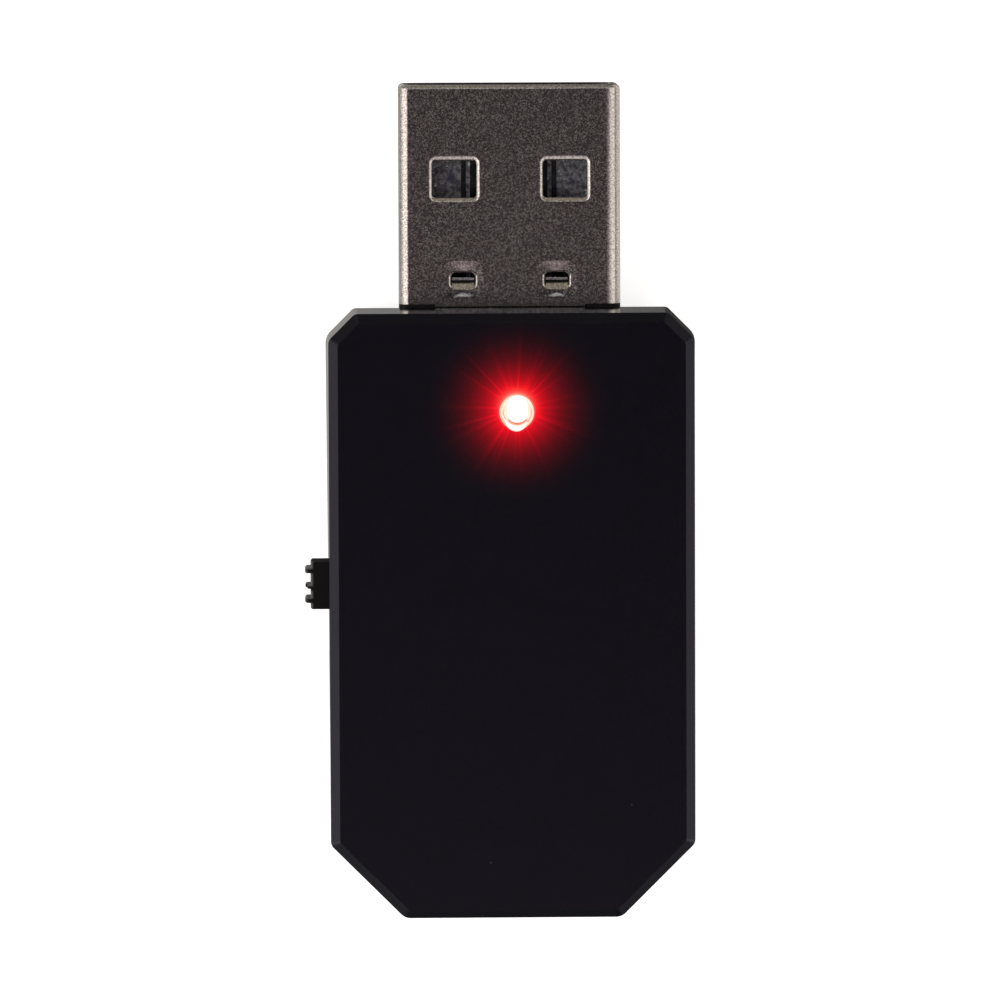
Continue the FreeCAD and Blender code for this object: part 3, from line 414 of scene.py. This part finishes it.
# ---------------------------------------------------------------- other materials
def case_black():
    """Fine-textured black plastic, satin above and glossier on its sides, with dust and rubbed edges."""
    finish = Finish("case_black")
    grain = finish.noise(per_mm=14.0, detail=2.0, rough=0.5)
    cloud = finish.noise(per_mm=0.5, detail=3.0, rough=0.55)
    patches = finish.noise(per_mm=2.2, detail=4.0, rough=0.65, offset=(7.0, 2.0, 0.0))
    dust = finish.specks(per_mm=0.30, size=0.022, offset=(3.1, 0.7, 0.0))
    deep_black, soft_black = (0.0006, 0.0005, 0.0022), (0.0011, 0.0010, 0.0030)
    grain_black, dust_grey, worn_grey = (0.0030, 0.0029, 0.0055), (0.12, 0.12, 0.12), (0.022, 0.022, 0.025)
    tone = finish.mix(finish.ranged(cloud, 0.35, 0.7), deep_black, soft_black)
    tone = finish.mix(finish.ranged(grain, 0.5, 0.75, 0.0, 0.6), tone, grain_black)
    tone = finish.mix(finish.product(dust, 0.35), tone, dust_grey)
    wear = finish.product(finish.edges(CASE_WEAR_WIDTH), finish.ranged(patches, 0.45, 0.65))
    tone = finish.mix(finish.product(wear, 0.4), tone, worn_grey)
    normal = finish.add("ShaderNodeNewGeometry").outputs["Normal"]
    lying = finish.ranged(finish.split(normal)[2], 0.2, 0.6)
    rough = finish.total(finish.ranged(grain, 0.3, 0.7, 0.07, 0.10), finish.product(lying, 0.13))
    finish.use(Base_Color=tone, Roughness=rough, Specular_Tint=CASE_SHEEN)
    finish.use(Normal=finish.bump(grain, strength=0.25, depth_mm=0.008))
    finish.use(Emission_Color=spilt_light(finish), Emission_Strength=1.0)
    return finish.material


def knob_black():
    """Moulded black of the switch knob, matt in front, with painted highlights on its upper edge and its
    ridges' fronts.
    """
    finish = Finish("knob_black")
    grain = finish.noise(per_mm=12.0, detail=3.0, rough=0.6)
    forward = finish.split(finish.add("ShaderNodeNewGeometry").outputs["True Normal"])[1]
    deep_black, soft_black = (0.0035, 0.0030, 0.0030), (0.0070, 0.0062, 0.0062)
    edge_grey, painted_highlight_grey = (0.022, 0.020, 0.020), (0.80, 0.77, 0.79)
    tone = finish.mix(grain, deep_black, soft_black)
    tone = finish.mix(finish.product(finish.edges(KNOB_WEAR_WIDTH), 0.5), tone, edge_grey)
    # Painted highlight on the ridges' faces that point towards the plug.
    ridge_front_highlight = finish.product(finish.ranged(forward, 0.50, 0.95, 0.0, 0.2), past_knob_side(finish))
    pale_edge = finish.math("MAXIMUM", painted_edge_highlight(finish), ridge_front_highlight)
    # Painted highlight: the knob's upper edge and its ridges' fronts are made pale grey where light catches
    # them.
    tone = finish.mix(pale_edge, tone, painted_highlight_grey)
    matt_front = finish.ranged(forward, 0.80, 0.98, 0.05, 0.35)
    rough = finish.total(finish.ranged(grain, 0.3, 0.7, 0.38, 0.5), matt_front)
    finish.use(Base_Color=tone, Roughness=rough, IOR=KNOB_IOR)
    finish.use(Normal=finish.bump(grain, strength=0.15, depth_mm=0.010))
    return finish.material


def past_knob_side(finish):
    """1 on the knob's ridges, which stand out past its side, and 0 on the rest of it."""
    x = finish.split(finish.place)[0]
    return finish.ranged(x, KNOB_SIDE_X, KNOB_SIDE_X - 0.04)


def painted_edge_highlight(finish):
    """Painted highlight on the knob's upper edge: how pale it is along its outer side, and at its ridges'
    tips.
    """
    x, y, z = finish.split(finish.place)
    side = finish.ranged(x, KNOB_SIDE_X + KNOB_HIGHLIGHT_WIDTH, KNOB_SIDE_X, 0.0, KNOB_SIDE_HIGHLIGHT)
    for place in KNOB_RIDGE_PLACES:
        away = finish.math("ABSOLUTE", finish.math("SUBTRACT", y, place))
        side = finish.product(side, finish.ranged(away, 0.06, 0.22))
    tips = finish.ranged(x, KNOB_SIDE_X - 0.06, KNOB_SIDE_X - KNOB_RIDGE_REACH, 0.0, KNOB_TIP_HIGHLIGHT)
    upper = finish.ranged(z, KNOB_TOP_Z - 0.30, KNOB_TOP_Z - 0.05)
    return finish.product(finish.math("MAXIMUM", side, tips), upper)


def plated_steel():
    """Satin nickel over steel sheet: fine mottled grain, bright flecks and drawing marks."""
    finish = Finish("plated_steel")
    grain = finish.noise(per_mm=10.5, detail=3.0, rough=0.7)
    fleck = finish.noise(per_mm=13.0, detail=2.0, rough=0.6, offset=(5.0, 1.0, 0.0))
    cloud = finish.noise(per_mm=0.55, detail=3.0, rough=0.6)
    drawn = finish.noise(per_mm=2.6, detail=3.0, rough=0.6, stretch=(1.0, 0.10, 1.0))
    dark_nickel, pale_nickel, fleck_white = (0.42, 0.372, 0.352), (0.84, 0.79, 0.73), (0.98, 0.93, 0.88)
    drawn_grey, cloud_grey, shade_black = (0.42, 0.37, 0.36), (0.50, 0.43, 0.41), (0.01, 0.01, 0.01)
    tone = finish.mix(finish.ranged(grain, 0.36, 0.66), dark_nickel, pale_nickel)
    tone = finish.mix(finish.ranged(fleck, 0.62, 0.74, 0.0, 0.7), tone, fleck_white)
    tone = finish.mix(finish.ranged(drawn, 0.52, 0.72, 0.0, 0.30), tone, drawn_grey)
    tone = finish.mix(finish.ranged(cloud, 0.40, 0.65, 0.0, 0.25), tone, cloud_grey)
    neck = neck_shadow(finish)
    tone = finish.mix(finish.product(neck, 0.97), tone, shade_black)
    tone = finish.mix(finish.product(steep_inside(finish), 0.95), tone, shade_black)
    rough = finish.total(finish.ranged(grain, 0.35, 0.7, 0.13, 0.22), finish.product(neck, 0.3))
    finish.use(Base_Color=tone, Metallic=1.0, Roughness=rough)
    finish.use(Normal=finish.bump(grain, strength=0.12, depth_mm=0.006))
    return finish.material


def neck_shadow(finish):
    """1 on the plug's neck, down in the gap before the case, and 0 on its outer faces."""
    x, y, _ = finish.split(finish.place)
    middle = finish.ranged(y, NECK_MIDDLE_Y, NECK_MIDDLE_Y - 0.02)
    corner = finish.ranged(y, NECK_CORNER_Y + 0.01, NECK_CORNER_Y - 0.01)
    outside = finish.ranged(finish.math("ABSOLUTE", x), NECK_CORNER_X - 0.02, NECK_CORNER_X + 0.01)
    return finish.math("MAXIMUM", middle, finish.product(corner, outside))


def steep_inside(finish):
    """1 on steep faces down inside the openings, which the light doesn't reach."""
    x, _, height = finish.split(finish.place)
    straight = finish.add("ShaderNodeNewGeometry").outputs["True Normal"]
    level = finish.split(straight)[2]
    within = finish.product(
        finish.ranged(height, INSIDE_TOP_Z, INSIDE_TOP_Z - 0.02),
        finish.ranged(height, INSIDE_BOTTOM_Z - 0.02, INSIDE_BOTTOM_Z),
        finish.ranged(finish.math("ABSOLUTE", x), INSIDE_HALF_WIDTH, INSIDE_HALF_WIDTH - 0.1),
    )
    return finish.product(within, finish.ranged(level, 0.78, 0.68))


def sheet_metal(name, dark, light, rough):
    """Plain plated sheet for the shield, the switch and the solder."""
    finish = Finish(name)
    grain = finish.noise(per_mm=6.0, detail=4.0, rough=0.65, stretch=(1.0, 0.3, 1.0))
    finish.use(Base_Color=finish.mix(grain, dark, light), Metallic=1.0)
    finish.use(Roughness=finish.ranged(grain, 0.3, 0.7, rough - ROUGH_SPREAD, rough + ROUGH_SPREAD))
    finish.use(Normal=finish.bump(grain, strength=0.2, depth_mm=0.01))
    return finish.material


def plated_contact():
    """Tinned fingers: dull blue-grey, dark where tarnished, bright where they have been wiped."""
    finish = Finish("plated_contact")
    patch = finish.noise(per_mm=4.5, detail=4.0, rough=0.7)
    wiped = finish.noise(per_mm=3.6, detail=4.0, rough=0.7, stretch=(0.8, 0.6, 1.0), offset=(4.3, 1.0, 0.0))
    tarnish = finish.noise(per_mm=1.1, detail=2.0, rough=0.5, offset=(1.5, 3.2, 0.0))
    dull_grey, tin_grey = (0.09, 0.09, 0.10), (0.34, 0.34, 0.37)
    tarnish_blue, wiped_white = (0.04, 0.035, 0.085), (1.0, 1.0, 1.0)
    tone = finish.mix(finish.ranged(patch, 0.38, 0.62), dull_grey, tin_grey)
    tone = finish.mix(finish.ranged(tarnish, 0.54, 0.66, 0.0, 0.8), tone, tarnish_blue)
    tone = finish.mix(finish.ranged(wiped, 0.60, 0.68), tone, wiped_white)
    finish.use(Base_Color=tone, Metallic=0.5)
    finish.use(Roughness=finish.ranged(patch, 0.3, 0.7, 0.35, 0.6))
    finish.use(Normal=finish.bump(patch, strength=0.5, depth_mm=0.03))
    return finish.material


def green_board():
    """Green solder mask with the weave just showing."""
    finish = Finish("green_board")
    cloud = finish.noise(per_mm=1.2, detail=3.0, rough=0.5)
    weave = finish.noise(per_mm=5.0, detail=1.0, rough=0.4, stretch=(1.0, 0.4, 1.0))
    deep_green, mask_green = (0.0015, 0.008, 0.004), (0.004, 0.016, 0.008)
    finish.use(Base_Color=finish.mix(cloud, deep_green, mask_green))
    finish.use(Roughness=finish.ranged(cloud, 0.3, 0.7, 0.22, 0.34))
    finish.use(Normal=finish.bump(weave, strength=0.15, depth_mm=0.01))
    return finish.material


def moulding(name, dark, light, rough):
    """A matt moulded or fired part with a slight mottle and rubbed edges."""
    finish = Finish(name)
    grain = finish.noise(per_mm=7.0, detail=3.0, rough=0.6)
    pale_edge = tuple(min(1.0, channel * 1.6 + 0.02) for channel in light)
    worn = finish.product(finish.edges(SMALL_WEAR_WIDTH), 0.3)
    finish.use(Base_Color=finish.mix(worn, finish.mix(grain, dark, light), pale_edge))
    finish.use(Roughness=finish.ranged(grain, 0.3, 0.7, rough - ROUGH_SPREAD, rough + ROUGH_SPREAD))
    finish.use(Normal=finish.bump(grain, strength=0.2, depth_mm=0.01))
    return finish.material


def all_materials():
    """Every material slot of the record, by name."""
    return {
        "case_black": case_black(),
        "knob_black": knob_black(),
        "plated_steel": plated_steel(),
        "plated_contact": plated_contact(),
        "green_board": green_board(),
        "clear_light_pipe": clear_light_pipe(),
        "black_moulding": moulding("black_moulding", (0.008, 0.008, 0.009), (0.016, 0.016, 0.017), 0.45),
        "solder": sheet_metal("solder", (0.55, 0.55, 0.57), (0.75, 0.75, 0.77), 0.25),
        "led_body": moulding("led_body", (0.75, 0.70, 0.62), (0.9, 0.86, 0.8), 0.4),
        "switch_steel": sheet_metal("switch_steel", (0.5, 0.49, 0.48), (0.66, 0.65, 0.64), 0.3),
        "spring_brass": sheet_metal("spring_brass", (0.62, 0.45, 0.20), (0.80, 0.62, 0.32), 0.3),
        "chip_black": moulding("chip_black", (0.012, 0.012, 0.013), (0.03, 0.03, 0.032), 0.5),
        "shield_tin": sheet_metal("shield_tin", (0.56, 0.56, 0.54), (0.72, 0.72, 0.70), 0.28),
        "ferrite_grey": moulding("ferrite_grey", (0.08, 0.08, 0.085), (0.15, 0.15, 0.16), 0.6),
        "tantalum_ochre": moulding("tantalum_ochre", (0.55, 0.30, 0.06), (0.70, 0.42, 0.10), 0.45),
        "capacitor_tan": moulding("capacitor_tan", (0.36, 0.25, 0.15), (0.5, 0.37, 0.24), 0.5),
        "resistor_black": moulding("resistor_black", (0.02, 0.02, 0.022), (0.05, 0.05, 0.055), 0.3),
        "antenna_white": moulding("antenna_white", (0.70, 0.70, 0.66), (0.85, 0.85, 0.82), 0.5),
    }


# ---------------------------------------------------------------- CAD pieces
def dress_cad(materials):
    """Gives every CAD node its material and softens its sharp edges."""
    slot_of = {part["node"]: part["material_slot"] for part in frame["record"]["subparts"]}
    rounds = {
        "case_black": CASE_EDGE_ROUND,
        "knob_black": KNOB_EDGE_ROUND,
        "plated_steel": PLUG_EDGE_ROUND,
    }
    for name, piece in frame["nodes"].items():
        piece.data.materials.clear()
        piece.data.materials.append(materials[slot_of[name]])
        for polygon in piece.data.polygons:
            polygon.use_smooth = True
        soften(piece, rounds.get(slot_of[name], SMALL_EDGE_ROUND))


def soften(piece, width):
    """A narrow rounded edge wherever two faces meet sharply."""
    bevel = piece.modifiers.new("edge_round", "BEVEL")
    bevel.width = width
    bevel.segments = EDGE_SEGMENTS
    bevel.limit_method = "ANGLE"
    bevel.angle_limit = EDGE_ANGLE
    bevel.harden_normals = True
    bevel.miter_outer = "MITER_ARC"


# ---------------------------------------------------------------- stage
def floor_white():
    """Plain white floor, bright enough that the object's shadow hardly shows."""
    finish = Finish("floor_white")
    soft = finish.noise(per_mm=0.01, detail=2.0, rough=0.5)
    finish.use(Base_Color=finish.mix(soft, (0.84, 0.84, 0.84), (0.86, 0.86, 0.86)), Roughness=0.9)
    finish.use(Emission_Color=(1.0, 1.0, 1.0), Emission_Strength=FLOOR_GLOW, Specular_IOR_Level=0.1)
    return finish.material


def make_floor():
    """A wide pale floor under the case."""
    mesh = bpy.data.meshes.new("floor")
    shape = bmesh.new()
    bmesh.ops.create_grid(shape, x_segments=1, y_segments=1, size=FLOOR_SIZE / 2)
    shape.to_mesh(mesh)
    shape.free()
    floor = bpy.data.objects.new("floor", mesh)
    mesh.materials.append(floor_white())
    bpy.context.scene.collection.objects.link(floor)
    floor.location.z = cad_box[0][2] - FLOOR_GAP
    floor.visible_glossy = False


def side_lights(tent, x, y):
    """The two long lights at the left and right, dimmer at the horizon and towards the corners."""
    sideways = tent.ranged(tent.math("ABSOLUTE", y), *SIDEWAYS_END, 1.0, DIAGONAL_SHARE)
    left_horizon = tent.ranged(x, *LEFT_HORIZON, 1.0, LEFT_HORIZON_SHARE)
    right_horizon = tent.ranged(x, *RIGHT_HORIZON, 1.0, RIGHT_HORIZON_SHARE)
    left = tent.product(tent.ranged(x, *LEFT_EDGE), left_horizon, sideways, LEFT_LIGHT)
    right = tent.product(tent.ranged(x, *RIGHT_EDGE), right_horizon, sideways, RIGHT_LIGHT)
    return tent.total(left, right)


def front_light(tent, x, y):
    """The light ahead of the plug."""
    rise = tent.product(tent.ranged(y, *FRONT_EDGE), tent.ranged(y, *FRONT_HORIZON))
    width = tent.ranged(tent.math("ABSOLUTE", x), *FRONT_SIDES, 1.0, FRONT_SIDE_SHARE)
    return tent.product(rise, width, FRONT_LIGHT)


def strip_light(tent, x, y):
    """The short bright strip high above the plug, which the pressed hollows reflect."""
    depth = tent.product(tent.ranged(y, *STRIP_REAR_EDGE), tent.ranged(y, *STRIP_FRONT_EDGE))
    width = tent.ranged(tent.math("ABSOLUTE", x), *STRIP_ENDS)
    return tent.product(depth, width, FRONT_STRIP_LIGHT)


def light_above(tent, x, y, z, front):
    """Everything above the horizon but the strip."""
    rear = tent.product(tent.ranged(y, *REAR_EDGE), tent.ranged(y, *REAR_HORIZON), REAR_LIGHT)
    zenith = tent.ranged(y, *ZENITH_FADE, ZENITH_LIGHT, ZENITH_LIGHT * ZENITH_FRONT_SHARE)
    lights = tent.total(side_lights(tent, x, y), front, rear, zenith)
    return tent.product(lights, tent.ranged(z, *UPPER_EDGE))


def light_below(tent, x, y, z):
    """What the upright faces reflect from under the horizon, dimmer behind the case."""
    left = tent.product(tent.ranged(x, *BELOW_LEFT_EDGE), BELOW_LEFT_LIGHT)
    right = tent.product(tent.ranged(x, *BELOW_RIGHT_EDGE), BELOW_RIGHT_LIGHT)
    lights = tent.total(left, right, BELOW_FILL)
    dimming = tent.product(tent.ranged(y, *BEHIND_EDGE), tent.ranged(z, *BEHIND_DEPTH, *BEHIND_DIMMING))
    return tent.product(lights, tent.ranged(z, *LOWER_EDGE), tent.math("SUBTRACT", 1.0, dimming))


def horizon_fill(tent, y):
    """A little light low down at the front and the rear, which the end bevels reflect."""
    front = tent.product(tent.ranged(y, *FRONT_FILL_EDGE), FRONT_FILL)
    rear = tent.product(tent.ranged(y, *REAR_FILL_EDGE), REAR_FILL)
    return tent.total(front, rear)


def make_world():
    """A white light tent, bright at both sides and dark straight overhead."""
    world = bpy.data.worlds.new("tent")
    bpy.context.scene.world = world
    world.use_nodes = True
    tent = Tree(world.node_tree)
    x, y, z = tent.split(tent.add("ShaderNodeTexCoord").outputs["Generated"])
    front = front_light(tent, x, y)
    strip = strip_light(tent, x, y)
    above = light_above(tent, x, y, z, front)
    tint = tent.mix(tent.ranged(z, *ZENITH_TINT_EDGE), TENT_TINT, ZENITH_TINT)
    tint = tent.mix(front, tint, FRONT_TINT)
    tint = tent.mix(strip, tint, STRIP_TINT)
    background = tent.tree.nodes["Background"]
    strength = tent.total(above, strip, light_below(tent, x, y, z), horizon_fill(tent, y))
    tent.put(strength, background.inputs["Strength"])
    tent.put(tint, background.inputs["Color"])


def make_camera():
    """The camera over the part, with the plug at the top of its view."""
    lean = Vector((-math.tan(CAMERA_LEAN_TO_SWITCH), math.tan(CAMERA_LEAN_TO_PLUG), 1.0)).normalized()
    forward = -lean
    up = Vector((0, 1, 0))
    up = (up - forward * up.dot(forward)).normalized()
    right = forward.cross(up)
    turned_right = right * math.cos(CAMERA_ROLL) + up * math.sin(CAMERA_ROLL)
    turned_up = up * math.cos(CAMERA_ROLL) - right * math.sin(CAMERA_ROLL)
    data = bpy.data.cameras.new("camera")
    data.lens = CAMERA_LENS_MM
    data.sensor_width = CAMERA_SENSOR_MM
    data.clip_start = CAMERA_DISTANCE / 10
    camera = bpy.data.objects.new("camera", data)
    turn = Matrix((turned_right, turned_up, lean)).transposed()
    camera.matrix_world = Matrix.Translation(CAMERA_AIM + lean * CAMERA_DISTANCE) @ turn.to_4x4()
    bpy.context.scene.collection.objects.link(camera)
    bpy.context.scene.camera = camera


def main():
    """Builds the whole scene."""
    dress_cad(all_materials())
    make_floor()
    make_world()
    make_camera()
    bpy.context.scene.view_settings.view_transform = "Standard"


main()
